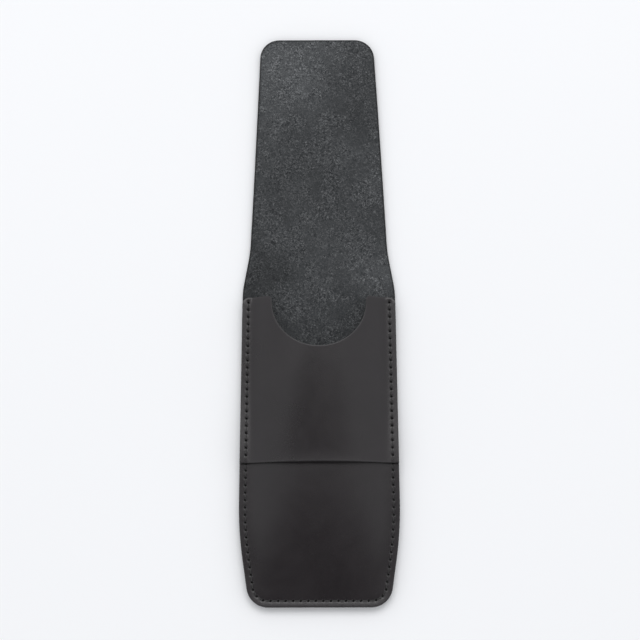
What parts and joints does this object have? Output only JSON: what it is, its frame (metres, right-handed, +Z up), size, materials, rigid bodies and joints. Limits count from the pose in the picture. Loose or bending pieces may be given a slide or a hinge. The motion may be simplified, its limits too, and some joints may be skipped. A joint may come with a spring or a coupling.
{
  "type": "watch travel case",
  "caption": "Soft leather travel case for a wristwatch: a sewn pocket with overlapping front panels and a thumb notch, closed by a long tapered flap that folds over the front.",
  "frame": {"origin": "centre of the footprint of the open case, on the surface that it lies on", "axes": "+X across the case, +Y from the sewn bottom to the tip of the open flap, +Z up, out of the front panels"},
  "size_m": [0.0732, 0.2682, 0.0133],
  "materials": {
    "back_leather": "black leather with its mottled suede side up and its grain side down, burnished edges",
    "front_leather": "smooth satin black leather with a fine grain and burnished edges",
    "thread": "black waxed thread"
  },
  "bodies": {
    "pouch": {"back_panel": "back_leather", "lower_front_panel": "front_leather", "upper_front_panel": "front_leather", "first_needle_thread": "thread", "second_needle_thread": "thread"},
    "fold_band": {"flap_fold": "back_leather"},
    "flap": {"flap": "back_leather"}
  },
  "joints": [
    {"name": "mouth_fold", "type": "hinge", "parent": "pouch", "child": "fold_band", "pos_m": [0, 0.0119, 0.002], "axis": [1, 0, 0], "range_deg": [0, 90]},
    {"name": "flap_fold_over", "type": "hinge", "parent": "fold_band", "child": "flap", "pos_m": [0, 0.0283, 0.002], "axis": [1, 0, 0], "range_deg": [0, 93]}
  ]
}
